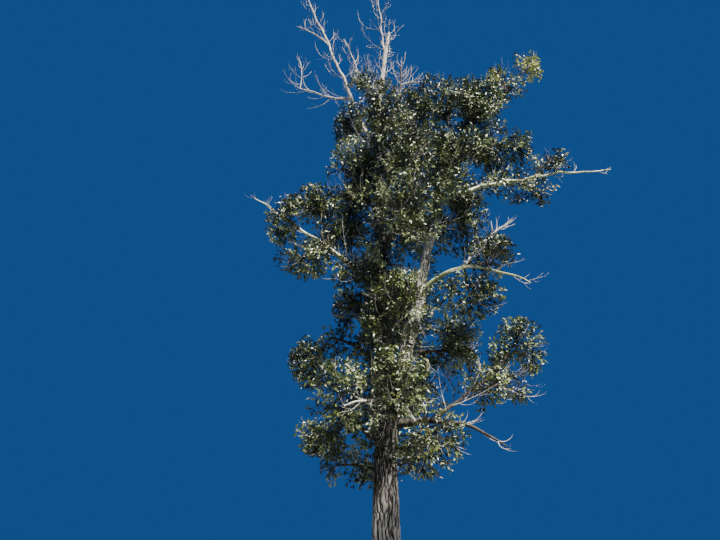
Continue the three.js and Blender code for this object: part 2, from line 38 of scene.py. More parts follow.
# The trunk from the ground to the broken stub at its top: height, radius, and how far its axis has
# wandered to the right.
TRUNK_ROWS = np.array([
    (0, 560, 0), (250, 490, 0), (700, 440, 15), (1400, 415, 30), (2600, 385, 50), (3700, 345, 60),
    (4700, 285, 50), (7400, 225, 30), (11000, 185, 20), (15500, 140, 0), (18300, 105, 40),
    (19900, 92, 270), (21300, 85, 420), (22500, 60, 610),
]) * MM
FLARE_LOBES = 5
FLARE_DEPTH = 0.14
FLARE_HEIGHT = 0.45

# The limbs: carrier, place on it, radii of foot and tip, bark, then heading, reach, climb, bow and
# sway. A pale bough wears the material of the pale leaves, whose tone is lightened as painted glints.
LIMBS = [
    dict(name="second_leader", on="trunk", at=3700, foot=270, tip=60, bark="leader",
         azimuth=2, reach=3110, climb=13310, bow=0, sway=-680),
    dict(name="low_right_bough", on="second_leader", at=0.07, foot=130, tip=22, bark="dark",
         azimuth=-22, reach=3560, climb=-840, bow=420, sway=-20),
    dict(name="low_right_riser", on="low_right_bough", at=0.38, foot=70, tip=30, bark="dark",
         azimuth=19, reach=2540, climb=1730, bow=120, sway=-130),
    dict(name="arch_bough", on="second_leader", at=0.365, foot=105, tip=60, bark="pale",
         azimuth=-24, reach=1970, climb=1180, bow=360, sway=-40),
    dict(name="arch_end", on="arch_bough", at=1, foot=56, tip=18, bark="pale",
         azimuth=-29, reach=1880, climb=-1040, bow=100, sway=0),
    dict(name="right_long_bough", on="second_leader", at=0.7, foot=115, tip=18, bark="pale",
         azimuth=8, reach=7630, climb=2180, bow=330, sway=110),
    dict(name="left_long_bough", on="trunk", at=9500, foot=110, tip=18, bark="pale",
         azimuth=-162, reach=4840, climb=2930, bow=30, sway=100),
    dict(name="left_dead_leader", on="trunk", at=14900, foot=105, tip=28, bark="dead",
         azimuth=167, reach=3590, climb=11250, bow=90, sway=-40),
    dict(name="left_dead_arm", on="left_dead_leader", at=0.35, foot=60, tip=24, bark="dead",
         azimuth=-177, reach=2280, climb=440, bow=-90, sway=-50),
    dict(name="top_shoot", on="trunk", at=21100, foot=55, tip=24, bark="dead",
         azimuth=180, reach=270, climb=3440, bow=10, sway=0),
    dict(name="top_left_snag", on="trunk", at=17400, foot=50, tip=18, bark="dead",
         azimuth=-161, reach=1580, climb=4140, bow=40, sway=30),
    dict(name="right_snag", on="trunk", at=16000, foot=60, tip=40, bark="dark",
         azimuth=-11, reach=1100, climb=4270, bow=-270, sway=0),
    dict(name="dome_bough", on="second_leader", at=0.8, foot=80, tip=30, bark="pale",
         azimuth=12, reach=3270, climb=4680, bow=390, sway=110),
    dict(name="left_low_bough", on="trunk", at=4100, foot=100, tip=35, bark="dark",
         azimuth=-133, reach=2340, climb=870, bow=-70, sway=-30),
    dict(name="left_mid_bough", on="trunk", at=6600, foot=90, tip=35, bark="dark",
         azimuth=154, reach=2080, climb=1340, bow=160, sway=10),
    dict(name="front_dead_bough", on="low_right_bough", at=0.2, foot=70, tip=20, bark="dead",
         azimuth=-126, reach=3610, climb=-80, bow=410, sway=210),
]

# The masses: carrier, place on it, heading of the stem, and the half width, depth and height of the
# space round the point that lies "out" along it. The less "full" one is, the more sky shows between
# its sprays. "dead" counts its dead twigs to a metre of shoot, and "tint" names its mix of tones.
LEAF_MASSES = [
    dict(name="crown_top", on="trunk", at=18000, azimuth=-140, rise=60, out=1300,
         half=(900, 1050, 1350), full=0.2, dead=6),
    dict(name="top_centre", on="trunk", at=16000, azimuth=-75, rise=30, out=1400,
         half=(1400, 1350, 1400), dead=3),
    dict(name="left_shoulder", on="left_dead_leader", at=0.12, azimuth=150, rise=45, out=950,
         half=(1050, 1400, 1800), full=0.8, dead=6),
    dict(name="left_upper", on="trunk", at=12200, azimuth=-145, rise=55, out=2150,
         half=(1150, 1700, 1500), dead=5),
    dict(name="upper_front", on="trunk", at=13000, azimuth=-70, rise=20, out=2550,
         half=(1500, 1650, 1450), dead=2),
    dict(name="upper_back", on="trunk", at=14600, azimuth=60, rise=45, out=4150,
         half=(2200, 1800, 2100)),
    dict(name="dome_left", on="second_leader", at=1, azimuth=-150, rise=30, out=1000,
         half=(1700, 1900, 1600)),
    dict(name="dome_right", on="dome_bough", at=0.45, azimuth=45, rise=60, out=1600,
         half=(2000, 1900, 1650)),
    dict(name="dome_tip", on="dome_bough", at=1, azimuth=65, rise=75, out=750,
         half=(1000, 1050, 1500), full=0.65, dead=5, tint="turning"),
    dict(name="yellow_tip", on="dome_bough", at=0.93, azimuth=0, rise=50, out=2150,
         half=(750, 850, 1500), full=0.7, dead=3, tint="yellow"),
    dict(name="right_shoulder", on="dome_bough", at=0.2, azimuth=25, rise=25, out=2750,
         half=(1600, 1850, 1550)),
    dict(name="centre_right", on="second_leader", at=0.72, azimuth=-60, rise=30, out=1300,
         half=(1600, 1800, 1850)),
    dict(name="long_bough_upper", on="right_long_bough", at=0.56, azimuth=5, rise=45, out=1000,
         half=(1250, 950, 600), full=0.8),
    dict(name="long_bough_under", on="right_long_bough", at=0.48, azimuth=0, rise=-55, out=700,
         half=(1300, 950, 600), full=0.75),
    dict(name="left_outer", on="left_long_bough", at=0.64, azimuth=-125, rise=5, out=550,
         half=(1000, 1200, 1050), full=0.95),
    dict(name="left_middle", on="left_long_bough", at=0.42, azimuth=160, rise=70, out=1600,
         half=(1200, 1500, 1250), dead=2),
    dict(name="left_under", on="left_long_bough", at=0.45, azimuth=-130, rise=-40, out=1100,
         half=(1300, 1350, 850)),
    dict(name="left_inner", on="trunk", at=10600, azimuth=140, rise=50, out=2900,
         half=(1200, 1400, 1450), dead=2),
    dict(name="left_knee", on="trunk", at=9000, azimuth=-135, rise=30, out=1500,
         half=(1150, 1400, 1150), dead=2),
    dict(name="middle_front", on="trunk", at=10600, azimuth=-72, rise=15, out=2750,
         half=(1500, 1550, 1500), full=0.8, dead=2),
    dict(name="middle_back", on="trunk", at=10800, azimuth=65, rise=45, out=4050,
         half=(2150, 1850, 2100)),
    dict(name="right_middle", on="second_leader", at=0.56, azimuth=45, rise=40, out=2450,
         half=(1300, 1800, 1550), full=0.95, dead=3),
    dict(name="arch_upper", on="arch_end", at=0.3, azimuth=90, rise=70, out=600,
         half=(1200, 1500, 800), dead=3),
    dict(name="arch_under", on="arch_bough", at=0.9, azimuth=60, rise=-70, out=850,
         half=(1450, 1650, 950), full=0.8),
    dict(name="left_centre", on="trunk", at=8000, azimuth=140, rise=35, out=1300,
         half=(1050, 1700, 1600)),
    dict(name="centre_front", on="trunk", at=7400, azimuth=-75, rise=12, out=2150,
         half=(1450, 1550, 1450), full=0.75, dead=2),
    dict(name="back_middle", on="trunk", at=7400, azimuth=75, rise=40, out=3200,
         half=(2100, 1850, 2050)),
    dict(name="right_inner", on="second_leader", at=0.24, azimuth=35, rise=8, out=2200,
         half=(1600, 1800, 1750), full=0.65, dead=2),
    dict(name="right_outer", on="low_right_riser", at=1, azimuth=25, rise=50, out=1250,
         half=(1300, 1450, 1200), full=0.75),
    dict(name="right_under", on="low_right_riser", at=0.6, azimuth=10, rise=0, out=700,
         half=(1700, 1500, 850), full=0.35, dead=3),
    dict(name="left_outer_low", on="left_mid_bough", at=1, azimuth=140, rise=-60, out=950,
         half=(1200, 1550, 1200)),
    dict(name="left_front_low", on="left_low_bough", at=1, azimuth=-50, rise=20, out=550,
         half=(1250, 1500, 1150)),
    dict(name="left_under_low", on="left_low_bough", at=0.6, azimuth=160, rise=-25, out=800,
         half=(1300, 1400, 850), full=0.95, dead=2),
    dict(name="foot_left", on="trunk", at=3200, azimuth=155, rise=10, out=1300,
         half=(1000, 1100, 800), full=0.9),
    dict(name="foot_right", on="low_right_bough", at=0.3, azimuth=-90, rise=-38, out=1080,
         half=(1350, 1350, 1300), full=0.85, dead=2),
    dict(name="low_back", on="trunk", at=4900, azimuth=75, rise=30, out=3200,
         half=(2100, 1850, 1750)),
    dict(name="low_front", on="trunk", at=5500, azimuth=-85, rise=-12, out=2300,
         half=(1450, 1550, 1650), full=1.2, dead=3),
]

# The masses without leaves. "dead" multiplies the usual count of their twigs.
BARE_MASSES = [
    dict(name="top", on="top_shoot", at=1, azimuth=0, rise=75, out=450,
         half=(750, 600, 1350)),
    dict(name="leader_tip", on="left_dead_leader", at=1, azimuth=180, rise=65, out=300,
         half=(500, 600, 550)),
    dict(name="leader_side", on="left_dead_leader", at=0.66, azimuth=-175, rise=35, out=1200,
         half=(600, 600, 1150)),
    dict(name="arm", on="left_dead_arm", at=1, azimuth=160, rise=85, out=1000,
         half=(750, 700, 1000)),
    dict(name="snag", on="right_snag", at=0.75, azimuth=20, rise=25, out=650,
         half=(600, 600, 1050), dead=1.5),
    dict(name="right", on="arch_bough", at=0.9, azimuth=10, rise=45, out=2450,
         half=(700, 700, 600), dead=1.3),
]

# How a stem's shoots leave it, by the part's rule: how many, how far they lean at its foot and tip,
# how much they turn up, where past the middle of the space it ends, how far they bow, and how much
# of their room they fill. Then how many more there are: to a metre of a leafy mass's size, and on
# a bare one.
LEAFY = SimpleNamespace(shoots=3, foot=85, tip=50, lift=0.1, end=0.5, bow=0.03, fills=(0.6, 1))
BARE = SimpleNamespace(shoots=4, foot=60, tip=25, lift=0.4, end=0.95, bow=-0.08, fills=(0.75, 1))
MORE_SHOOTS = 9
MORE_BARE_SHOOTS = 5
ANGLE_SPREAD = 24
SHORTEST_SHOOT = 0.18
SHOOT_SHARE_OF_STEM = 0.5
SHOOT_TAPER = 0.35
SHOOT_CLEARANCE = 0.02

# The masses' spaces and stems, how far round a space there is wood to miss, and in how many
# straight pieces that wood is taken.
SPACE_MARGIN = 0.025
STEM_BOW = 0.06
STEM_FOOT = 0.034
STEM_GROWTH = 0.014
STEM_SHARE_OF_LIMB = 0.8
STEM_TIP = 0.024
ENTRY_STEPS = 40
LAST_ENTRY = 0.7
NEAR_WOOD = 1.2
TRUNK_PIECES = 28
LIMB_PIECES = 8

# How far a limb's crooks stray from its arc.
STRAY = 0.035

# The limbs that carry bleached twigs: the place on each from which they do, how many to a metre, and
# how long they are, for the limb's foot and for its tip.
BARE_ENDS = {
    "left_dead_leader": (0.02, 2.8, (2.1, 0.8)), "left_dead_arm": (0.2, 3, (1.6, 1)),
    "top_shoot": (0.05, 4, (2.2, 1)), "top_left_snag": (0.15, 3, (1.6, 0.7)),
    "right_snag": (0.4, 4, (1.6, 0.8)), "front_dead_bough": (0.1, 2.5, (1.6, 0.6)),
    "low_right_bough": (0.55, 1.2, (1.3, 0.5)), "right_long_bough": (0.3, 0.9, (1, 0.6)),
    "low_right_riser": (0.1, 2.2, (1.6, 0.9)), "trunk": (0.79, 1.3, (1.7, 0.9)),
    "left_long_bough": (0.1, 1.8, (2.3, 0.45)), "arch_end": (0.05, 2.4, (2, 0.6)),
    "arch_bough": (0.55, 2, (2.2, 2)),
}
BARE_ENDS_SEED = 100

# The limbs that carry leafy twigs of their own between the masses: the stretch that does, how many to
# a metre, and how long they are, for the limb's foot and its tip. They count as fuller than a mass.
LEAFY_STRETCHES = {
    "trunk": ((0.12, 0.76), 8, (1.4, 0.7)), "second_leader": ((0.25, 0.97), 4, (0.5, 1)),
    "right_long_bough": ((0.08, 0.5), 4, (0.8, 0.5)), "dome_bough": ((0.1, 0.95), 6, (0.8, 0.6)),
    "low_right_riser": ((0.4, 0.95), 5, (0.7, 0.6)),
    "left_low_bough": ((0.2, 0.95), 5, (0.8, 0.6)), "left_mid_bough": ((0.2, 0.95), 5, (0.8, 0.6)),
}
LEAFY_STRETCHES_SEED = 200
LIMB_FULL = 1.5

# The kinds of twigs: how far they lean at their parent's foot and tip, how much they turn up, how
# thick they are, and the least and most that they bow.
LEAFY_TWIG = SimpleNamespace(splay=(65, 30), lift=0.15, thick=0.01, bows=(-0.12, 0.12))
TWIGLET = SimpleNamespace(splay=(60, 35), lift=0, thick=0.004, bows=(-0.12, 0.12))
BARE_TWIG = SimpleNamespace(splay=(60, 25), lift=0.35, thick=0.015, bows=(-0.22, -0.02))
FINE_BARE_TWIG = SimpleNamespace(splay=(50, 25), lift=0.35, thick=0.008, bows=(-0.22, -0.02))
TWIG_SHARE_OF_PARENT = 0.6
TWIG_TAPER = 0.3
TWIG_CLEARANCE = 0.03

# Twigs on their parents: how many to a metre, the stretch that has them, and how long they are, for
# the parent's foot and its tip. The dead twigs of a mass have its own count.
MASS_TWIGS = (7, (0.1, 1), (0.9, 0.45))
TWIGLETS = (10, (0.1, 1), (0.34, 0.17))
FINE_BARE_TWIGS = (3.5, (0.15, 0.95), (0.6, 0.25))
BARE_MASS_TWIGS = (2.2, (0.2, 1), (1.3, 0.6))
DEAD_STRETCH = (0.3, 1)
DEAD_LENGTH = (1.7, 0.9)

# The field of density: its waves and their pitch in radians to a metre, how high it has to be for
# a twig to grow in a mass that is bare or full, and how much higher at the edge of the space.
FIELD_SEED = 8
FIELD_WAVES = 16
FIELD_PITCH = (2, 6)
FIELD_WHEN_BARE = 1.1
FIELD_WHEN_FULL = -1.5
FIELD_AT_EDGE = 0.8
EDGE_FROM = 0.65

# The leaves.
LEAVES_PER_METRE = 23
LEAF_LENGTH = 0.135
LEAF_SIZES = (0.65, 1.15)
LEAF_WIDTH = 0.5
LEAF_BELLY = 0.36
LEAF_CUP = 0.05
LEAF_FOLD_AT = 0.45
LEAF_FOLD = 0.04
LEAF_CURL = 0.06
LEAF_LEAN = 55
TIP_LEAF_LEAN = 15
LEAF_LEAN_SPREAD = 30
LEAF_DROOP = 0.35
LEAF_OUTWARD = 0.5
LEAF_UPWARD = 0.6
LEAF_TUMBLE = 0.9
LEAF_CLEARANCE = 0.01
PIECE_TRIANGLES = 190000

# The skin of the wood: whether its pattern is weathered or furrowed, how far that is drawn out, the
# points round it, the gaps between its rings at foot and tip, its ridges and their depth, the collar
# at its foot, the lobes of the flare, and how ragged its tip is.
TRUNK_LOOK = SimpleNamespace(
    weathered=False, stretch=1, around=128, rings=(0.05, 0.14), ridges=18, depth=0.1,
    collar=0, lobes=FLARE_DEPTH, broken=0.12,
)
LEADER_LOOK = SimpleNamespace(
    weathered=False, stretch=1.2, around=72, rings=(0.06, 0.14), ridges=14, depth=0.09,
    collar=0.25, lobes=0, broken=0.02,
)
BOUGH_LOOK = SimpleNamespace(
    weathered=False, stretch=0.8, around=32, rings=(0.05, 0.09), ridges=8, depth=0.09,
    collar=0.35, lobes=0, broken=0.01,
)
DEAD_LOOK = SimpleNamespace(
    weathered=True, stretch=0.5, around=28, rings=(0.06, 0.06), ridges=9, depth=0.22,
    collar=0.3, lobes=0, broken=0.06,
)
LOOKS = {"trunk": TRUNK_LOOK, "leader": LEADER_LOOK, "dead": DEAD_LOOK}
LAST_RING = 0.998
CLOSED_TIP = 0.04

# The bark of the two stems where it is low and dark and where it is pale, from its furrows, blackened
# as painted shade in the bark's recesses, to its ridges, and how pale each stem is at each height in
# metres. On the trunk the foot below 2.5 m is lightened as painted sunlight, the stretch from 2.5 to
# 11 m is darkened as painted shade of the crown, and the pale top is its bleached dead wood; on the
# leader the dark foot is painted shade, the pale stretch from 7 to 11 m painted sunlight, and the dip
# near 12.5 m painted shade.
LOW_BARK = [(0.4, (0.006, 0.005, 0.004)), (0.58, (0.024, 0.023, 0.021)), (0.76, (0.17, 0.165, 0.15))]
HIGH_BARK = [(0.4, (0.014, 0.012, 0.01)), (0.56, (0.38, 0.35, 0.29)), (0.7, (0.8, 0.77, 0.68))]
PALING_TOP = 25
TRUNK_PALING_AND_PAINTED_LIGHT = [(0, 0.45), (1.7, 0.4), (2.5, 0.05), (11, 0), (14, 0.4), (18, 1)]
LEADER_PALING_AND_PAINTED_LIGHT = [(6, 0), (7, 1), (11, 1), (12.5, 0.3), (17, 0.5)]

# The tones of the other wood, dark and light streaks and broad patches, and those of the leaves,
# darkest and lightest, with the share of each in a mass of each tint. The near-black leaf tone is
# painted shade, standing in for leaves in the crown's shade, and the pale tone, the leaves' lighter
# undersides, is lightened further as painted glints.
DARK_TONES = ((0.016, 0.014, 0.012), (0.07, 0.063, 0.055), (0.14, 0.125, 0.11))
DEAD_TONES = ((0.28, 0.24, 0.19), (0.68, 0.65, 0.58), (0.8, 0.79, 0.75))
LIVE_TONES = ((0.022, 0.019, 0.014), (0.09, 0.078, 0.06), (0.22, 0.19, 0.15))
LEAF_TONES = {
    "deep": ((0.004, 0.008, 0.002), (0.018, 0.03, 0.006)),
    "mid": ((0.02, 0.034, 0.006), (0.06, 0.088, 0.014)),
    "olive": ((0.06, 0.085, 0.013), (0.18, 0.225, 0.045)),
    "pale": ((0.18, 0.23, 0.08), (0.48, 0.54, 0.28)),
    "yellow": ((0.3, 0.34, 0.05), (0.7, 0.72, 0.14)),
}
TONE_SHARES = {
    "green": {"deep": 0.34, "mid": 0.26, "olive": 0.22, "pale": 0.18},
    "turning": {"mid": 0.25, "olive": 0.3, "pale": 0.2, "yellow": 0.25},
    "yellow": {"mid": 0.05, "olive": 0.1, "pale": 0.2, "yellow": 0.65},
}
TWIG_KINDS = ("live", "bare")

# The stage, and the camera that the photo was taken from.
FLOOR_HALF = 22
FLOOR_TONES = ((0.15, 0.15, 0.146), (0.18, 0.18, 0.176))
SKY_COLOUR = (0.014, 0.085, 0.3, 1)
SKY_STRENGTH = 0.85
SUN_STRENGTH = 16
SUN_COLOUR = (1, 0.95, 0.86)
SUN_WIDTH = math.radians(3)
SUN_TURN = (math.radians(32), 0, math.radians(35))
CAMERA_PLACE = (-0.745, -18, 1.6)
CAMERA_TURN = (math.radians(90 + 25.7), 0, 0)
CAMERA_LENS = 27.05
CAMERA_REACH = 200


def mix(low, high, share):
    return low + (high - low) * share


def unit(vectors):
    return vectors / np.maximum(np.linalg.norm(vectors, axis=-1, keepdims=True), 1e-9)


def dot(one, other):
    return (one * other).sum(axis=-1)


def chance(seed, draw):
    """A number between 0 and 1 that depends only on the seed and on the count of the draw."""
    wave = np.sin(seed * 12.9898 + draw * 78.233) * 43758.5453
    return wave - np.floor(wave)


def heading(azimuth, rise):
    level = math.cos(math.radians(rise))
    turn = math.radians(azimuth)
    return np.array([level * math.cos(turn), level * math.sin(turn), math.sin(math.radians(rise))])


def leaning(line, lean, turn):
    """The directions that lean from lines by an angle, towards a turn about each line."""
    steep = np.abs(line[:, 2:]) > 0.9
    first = unit(np.cross(np.where(steep, [0.0, 1.0, 0.0], UP), line))
    second = np.cross(line, first)
    out = first * np.cos(turn)[:, None] + second * np.sin(turn)[:, None]
    return unit(line * np.cos(lean)[:, None] + out * np.sin(lean)[:, None])


class Trunk:
    """The trunk's axis and radius, read off its rows by height."""

    height = TRUNK_ROWS[-1, 0]
    length = np.array([height])

    def __len__(self):
        return 1

    def share_of(self, height):
        return height * MM / self.height

    def at(self, which, t):
        high = np.atleast_1d(t) * self.height
        aside = np.interp(high, TRUNK_ROWS[:, 0], TRUNK_ROWS[:, 2])
        return np.stack([aside, np.zeros_like(high), high], axis=1)

    def along(self, which, t):
        return np.broadcast_to(UP, (np.size(t), 3))

    def radius(self, which, t):
        return np.interp(np.atleast_1d(t) * self.height, TRUNK_ROWS[:, 0], TRUNK_ROWS[:, 1])

    def spokes(self, which, t, angle):
        spoke = np.stack([np.cos(angle), np.sin(angle), 0 * angle], axis=1)
        return np.broadcast_to(spoke, (np.size(t), len(angle), 3))


class Arcs:
    """Many limbs or twigs: arcs from their feet, with straight tapers. A limb also strays a little."""

    stray = 0
    seed = 0

    def __init__(self, foot, chord, bow, sway, thick, thin):
        count = len(foot)
        self.foot, self.chord = foot, chord
        self.bow, self.sway, self.thick, self.thin = (
            np.broadcast_to(np.asarray(value, float), (count,)) for value in (bow, sway, thick, thin)
        )
        side = np.stack([-chord[:, 1], chord[:, 0], np.zeros(count)], axis=1)
        level = np.linalg.norm(side, axis=1, keepdims=True)
        self.side = np.where(level > 1e-9, side / np.maximum(level, 1e-9), [0.0, 1.0, 0.0])
        self.rise = np.cross(unit(chord), self.side)
        self.length = np.linalg.norm(chord, axis=1)

    def __len__(self):
        return len(self.foot)

    def share_of(self, at):
        return at

    def bend(self, which):
        return self.rise[which] * self.bow[which][:, None] + self.side[which] * self.sway[which][:, None]

    def at(self, which, t):
        t = np.atleast_1d(t)[:, None]
        arc = self.foot[which] + self.chord[which] * t + self.bend(which) * 4 * t * (1 - t)
        return arc + self.strayed(which, t) if self.stray else arc

    def strayed(self, which, t):
        """Small crooks along a limb, none at its foot or its tip: a long and a short wave each way."""
        phase = 2 * math.pi * chance(self.seed, np.arange(4))
        far = t * self.length[which][:, None]
        aside = np.sin(2.3 * far + phase[0]) + 0.6 * np.sin(5.7 * far + phase[1])
        up = np.sin(2 * far + phase[2]) + 0.6 * np.sin(5.1 * far + phase[3])
        hold = self.stray * np.minimum(1, 8 * t * (1 - t))
        return hold * (self.side[which] * aside + self.rise[which] * up)

    def along(self, which, t):
        t = np.atleast_1d(t)[:, None]
        return unit(self.chord[which] + self.bend(which) * (4 - 8 * t))

    def radius(self, which, t):
        return mix(self.thick[which], self.thin[which], np.atleast_1d(t))

    def spokes(self, which, t, angle):
        """The directions out from the axis at each place, one for each angle round it."""
        along = self.along(which, t)
        side = unit(self.side[which] - along * dot(self.side[which], along)[:, None])
        rise = np.cross(along, side)
        return np.cos(angle)[:, None] * side[:, None] + np.sin(angle)[:, None] * rise[:, None]

    def only(self, keep):
        rows = (self.bow, self.sway, self.thick, self.thin)
        return Arcs(self.foot[keep], self.chord[keep], *(row[keep] for row in rows))


def joined(arcs):
    """Several sets of arcs as one."""
    names = ("foot", "chord", "bow", "sway", "thick", "thin")
    return Arcs(*(np.concatenate([getattr(one, name) for one in arcs]) for name in names))


class Space:
    """The space that a mass keeps to: its ellipsoid, cut by a plane towards each neighbour's."""

    def __init__(self, centre, half):
        self.centre, self.half = centre, half
        self.normals, self.offsets = [], []

    def extent(self, direction):
        return np.linalg.norm(direction * self.half)

    def divide_from(self, other):
        apart = other.centre - self.centre
        distance = np.linalg.norm(apart)
        normal = apart / distance
        own, theirs = self.extent(normal), other.extent(normal)
        if own + theirs > distance:
            reach = distance * own / (own + theirs)
            self.normals.append(normal)
            self.offsets.append(normal @ self.centre + reach - SPACE_MARGIN)

    def holds(self, points):
        inside = np.linalg.norm((points - self.centre) / self.half, axis=1) <= 1
        for normal, offset in zip(self.normals, self.offsets):
            inside &= points @ normal <= offset
        return inside

    def room(self, points, directions):
        """How far it is from the points along the directions to the end of the space."""
        start = (points - self.centre) / self.half
        step = directions / self.half
        a, b, c = dot(step, step), dot(start, step), dot(start, start) - 1
        room = (-b + np.sqrt(np.maximum(b * b - a * c, 0))) / a
        for normal, offset in zip(self.normals, self.offsets):
            towards = directions @ normal
            ahead = (offset - points @ normal) / np.where(towards > 1e-6, towards, 1)
            room = np.where(towards > 1e-6, np.minimum(room, ahead), room)
        return np.maximum(room, 0)

    def outward(self, points):
        return unit((points - self.centre) / self.half ** 2)


def density(points):
    """A field that swells and sinks over a metre or so: where it is low, the crown opens."""
    random = np.random.default_rng(FIELD_SEED)
    ways = unit(random.normal(size=(FIELD_WAVES, 3)))
    waves = ways * mix(*FIELD_PITCH, random.random((FIELD_WAVES, 1)))
    phases = 2 * math.pi * random.random(FIELD_WAVES)
    return np.sin(points @ waves.T + phases).sum(axis=1) * math.sqrt(2 / FIELD_WAVES)


def plan_wood():
    wood = {"trunk": Trunk()}
    for row in LIMBS:
        carrier = wood[row["on"]]
        foot = carrier.at([0], carrier.share_of(row["at"]))
        chord = (heading(row["azimuth"], 0) * row["reach"] + UP * row["climb"])[None] * MM
        limb = Arcs(foot, chord, *(row[key] * MM for key in ("bow", "sway", "foot", "tip")))
        limb.stray = STRAY
        limb.seed = len(wood)
        wood[row["name"]] = limb
    return wood


def straight_pieces(wood):
    """The wood as straight pieces, for keeping twigs and leaves clear of it: starts, ends and radii."""
    starts, ends, radii = [], [], []
    for limb in wood.values():
        shares = np.linspace(0, 1, 1 + (TRUNK_PIECES if isinstance(limb, Trunk) else LIMB_PIECES))
        points = limb.at(np.zeros(len(shares), int), shares)
        starts.append(points[:-1])
        ends.append(points[1:])
        radii.append(limb.radius(np.zeros(len(shares), int), shares)[:-1])
    return np.concatenate(starts), np.concatenate(ends), np.concatenate(radii)


def is_clear(points, pieces, margin):
    start, end, radius = pieces
    run = end - start
    share = np.clip(dot(points[:, None] - start, run) / dot(run, run), 0, 1)
    gap = np.linalg.norm(points[:, None] - start - share[..., None] * run, axis=2)
    return (gap > radius + margin).all(axis=1)


def plan_mass(row, index, rule, wood):
    """A mass's space, and its stem from the carrier's axis through the middle of that space."""
    carrier = wood[row["on"]]
    share = carrier.share_of(row["at"])
    foot = carrier.at([0], share)
    direction = heading(row["azimuth"], row["rise"])
    half = np.array(row["half"]) * MM
    space = Space(foot[0] + direction * row["out"] * MM, half)
    length = row["out"] * MM + rule.end * space.extent(direction)
    thick = min(STEM_FOOT + STEM_GROWTH * length, STEM_SHARE_OF_LIMB * carrier.radius([0], share)[0])
    stem = Arcs(foot, direction[None] * length, STEM_BOW * length, 0, thick, STEM_TIP)
    return SimpleNamespace(
        name=row["name"], seed=index + 1, rule=rule, space=space, stem=stem, size=half.mean(),
        full=row.get("full", 1), dead=row.get("dead", 1), tint=row.get("tint", "green"),
        random=np.random.default_rng(index + 1),
    )


def entry_of(mass):
    """Where a stem has come inside its space for good."""
    shares = np.arange(ENTRY_STEPS) / ENTRY_STEPS
    outside = ~mass.space.holds(mass.stem.at(np.zeros(ENTRY_STEPS, int), shares))
    last = np.flatnonzero(outside)
    return min((last[-1] + 1) / ENTRY_STEPS if len(last) else 0, LAST_ENTRY)


def plan_masses(wood):
    """Every mass, with its space divided from the others and the wood near it to miss."""
    rows = [(row, LEAFY) for row in LEAF_MASSES] + [(row, BARE) for row in BARE_MASSES]
    masses = [plan_mass(row, index, rule, wood) for index, (row, rule) in enumerate(rows)]
    for mass in masses:
        for other in masses:
            if other is not mass:
                mass.space.divide_from(other.space)
    starts, ends, radii = straight_pieces(wood)
    for mass in masses:
        reach = np.linalg.norm((starts + ends) / 2 - mass.space.centre, axis=1)
        near = reach < mass.space.half.max() + NEAR_WOOD
        mass.pieces = (starts[near], ends[near], radii[near])
        mass.entry = entry_of(mass)
    return masses


def shoots_of(mass, count):
    """The stem's shoots: first those of the part's own rule, then more of them between those."""
    rule, seed = mass.rule, mass.seed
    k = np.arange(count)
    share = np.where(k < rule.shoots, (k + 0.4) / rule.shoots, (k * 0.618) % 1)
    t = mix(mass.entry, 1, share)
    which = np.zeros(count, int)
    lean = mix(rule.foot, rule.tip, share) + ANGLE_SPREAD * (chance(seed, k) - 0.5)
    turn = k * GOLDEN_TURN + 2 * math.pi * chance(seed, 50)
    direction = unit(leaning(mass.stem.along(which, t), np.radians(lean), turn) + rule.lift * UP)
    root = mass.stem.at(which, t)
    length = mass.space.room(root, direction) * mix(*rule.fills, chance(seed, 10 + k))
    thick = SHOOT_SHARE_OF_STEM * mass.stem.radius(which, t)
    shoots = Arcs(root, direction * length[:, None], rule.bow * length, 0, thick, SHOOT_TAPER * thick)
    tips = shoots.at(k, np.ones(count))
    return shoots.only((length > SHORTEST_SHOOT) & is_clear(tips, mass.pieces, SHOOT_CLEARANCE))


def shared_out(counts):
    """With so many to each parent, the parent of every one and its number on that parent."""
    which = np.repeat(np.arange(len(counts)), counts)
    return which, np.arange(len(which)) - np.repeat(np.cumsum(counts) - counts, counts)


def side_twigs(mass, parents, kind, per_metre, stretch, length):
    """Twigs along every parent, a golden angle apart, where the space and the wood leave room."""
    luck = mass.random.random
    counts = np.round(parents.length * per_metre * mix(0.8, 1.2, luck(len(parents))))
    counts = np.maximum(counts, 1).astype(int)
    which, order = shared_out(counts)
    t = mix(*stretch, (order + luck(len(which))) / counts[which])
    lean = np.radians(mix(*kind.splay, t) + ANGLE_SPREAD * (luck(len(which)) - 0.5))
    turn = order * GOLDEN_TURN + 2 * math.pi * luck(len(parents))[which]
    direction = unit(leaning(parents.along(which, t), lean, turn) + kind.lift * UP)
    root = parents.at(which, t)
    wanted = mix(*length, t) * mix(0.7, 1.2, luck(len(which)))
    size = np.minimum(wanted, mass.space.room(root, direction))
    radius = np.minimum(kind.thick, TWIG_SHARE_OF_PARENT * parents.radius(which, t))
    bow = size * mix(*kind.bows, luck(len(which)))
    twigs = Arcs(root, direction * size[:, None], bow, 0.6 * bow[::-1], radius, TWIG_TAPER * radius)
    keep = (size > mix(0.3, 0.9, luck(len(which))) * wanted) & mass.space.holds(root)
    tips = twigs.at(np.arange(len(which)), np.ones(len(which)))
    keep &= is_clear(tips, mass.pieces, TWIG_CLEARANCE)
    return twigs.only(keep), which[keep]


